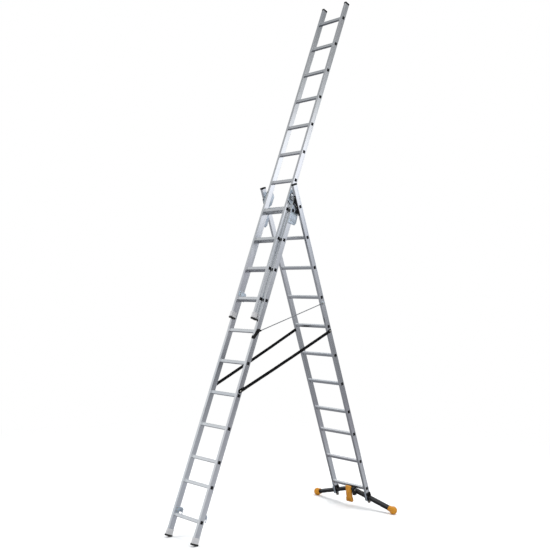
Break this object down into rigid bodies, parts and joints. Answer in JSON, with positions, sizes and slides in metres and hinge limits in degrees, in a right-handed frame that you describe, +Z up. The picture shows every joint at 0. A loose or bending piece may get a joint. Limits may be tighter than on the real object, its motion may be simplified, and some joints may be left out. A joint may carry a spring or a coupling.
{
  "type": "extension ladder",
  "caption": "Three-section aluminium combination ladder as an A-frame with its third section pushed up, spreader straps and a bent levelling crossbar.",
  "frame": {"origin": "on the floor under the centre of the standing ladder's bounding box", "axes": "+Z up, +X along the rungs to the right of a climber, +Y from the climbing side to the rear leg"},
  "size_m": [1.052, 2.1184, 4.7592],
  "materials": {
    "stile_aluminium": "extruded, fine lengthwise die lines",
    "rung_aluminium": "extruded, ribbed tread",
    "galvanised_steel": "bright zinc with a blue cast",
    "zinc_bolt": "zinc plated",
    "black_plastic": "moulded, fine grain",
    "black_steel": "satin powder coat",
    "grey_plastic": "moulded, light grey",
    "black_rubber": "ribbed sole",
    "grey_rubber": "moulded stop",
    "amber_plastic": "moulded, soft gloss",
    "webbing": "flat woven strap",
    "rod_steel": "drawn steel rod",
    "spring_steel": "oiled spring wire"
  },
  "bodies": {
    "front_section": {"front_stile_left": "stile_aluminium", "front_stile_right": "stile_aluminium", "front_rungs": "rung_aluminium", "front_rung_plugs": "black_plastic", "front_shoe_left": "grey_plastic", "front_shoe_right": "grey_plastic", "front_soles": "black_rubber", "front_hook_left": "galvanised_steel", "front_hook_right": "galvanised_steel", "front_hook_bolts": "zinc_bolt", "guide_plate_left": "galvanised_steel", "guide_plate_right": "galvanised_steel", "guide_loop_left": "black_steel", "guide_loop_right": "black_steel", "guide_bolts": "zinc_bolt", "hinge_plate_left": "galvanised_steel", "hinge_plate_right": "galvanised_steel", "hinge_plate_bolts": "zinc_bolt", "pivot_bolts": "zinc_bolt", "strap_front_bolts": "zinc_bolt", "spreader_strap_left": "webbing", "spreader_strap_right": "webbing"},
    "rear_section": {"rear_stile_left": "stile_aluminium", "rear_stile_right": "stile_aluminium", "rear_rungs": "rung_aluminium", "rear_rung_plugs": "black_plastic", "rear_caps": "black_plastic", "hinge_block_left": "black_steel", "hinge_block_right": "black_steel", "hinge_block_bolts": "zinc_bolt", "strap_rear_bolts": "zinc_bolt", "bar_guide_left": "black_plastic", "bar_guide_right": "black_plastic", "bar_stirrup_left": "galvanised_steel", "bar_stirrup_right": "galvanised_steel", "stirrup_bolts": "zinc_bolt", "stop_feet": "grey_rubber", "rod_bracket": "galvanised_steel", "rod_pivot_bolt": "zinc_bolt", "pedal_bracket": "black_plastic", "pedal_pin": "zinc_bolt", "pedal_spring": "spring_steel"},
    "upper_section": {"upper_stile_left": "stile_aluminium", "upper_stile_right": "stile_aluminium", "upper_rungs": "rung_aluminium", "upper_rung_plugs": "black_plastic", "upper_caps": "black_plastic", "upper_shoe_left": "grey_plastic", "upper_shoe_right": "grey_plastic", "upper_soles": "black_rubber", "upper_hook_left": "galvanised_steel", "upper_hook_right": "galvanised_steel", "upper_hook_bolts": "zinc_bolt"},
    "crossbar": {"crossbar_tube": "black_steel", "ball_foot_left": "amber_plastic", "ball_foot_right": "amber_plastic"},
    "pedal": {"brake_pedal": "amber_plastic"},
    "stay": {"stay_rod": "rod_steel", "rod_hook": "black_plastic"}
  },
  "joints": [
    {"name": "leg_fold", "type": "hinge", "parent": "front_section", "child": "rear_section", "pos_m": [0, 0.00193, 2.73089], "axis": [1, 0, 0], "range_deg": [-40, 0], "deforming": ["spreader_strap_left", "spreader_strap_right"]},
    {"name": "third_section_slide", "type": "slide", "parent": "front_section", "child": "upper_section", "axis": [0, 0.342, 0.9397], "range_m": [-1.4, 0.28]},
    {"name": "crossbar_level", "type": "hinge", "parent": "rear_section", "child": "crossbar", "pos_m": [0, 1.24465, -0.57233], "axis": [0, 0.9397, 0.342], "range_deg": [-5, 5]},
    {"name": "pedal_press", "type": "hinge", "parent": "rear_section", "child": "pedal", "pos_m": [0, 0.93662, 0.15993], "axis": [1, 0, 0], "range_deg": [0, 10], "stiffness_Nm_per_rad": 4, "springref_deg": -11.46},
    {"name": "stay_swing", "type": "hinge", "parent": "rear_section", "child": "stay", "pos_m": [0.2235, 0.31814, 1.93229], "axis": [1, 0, 0], "range_deg": [-60, 0]}
  ]
}
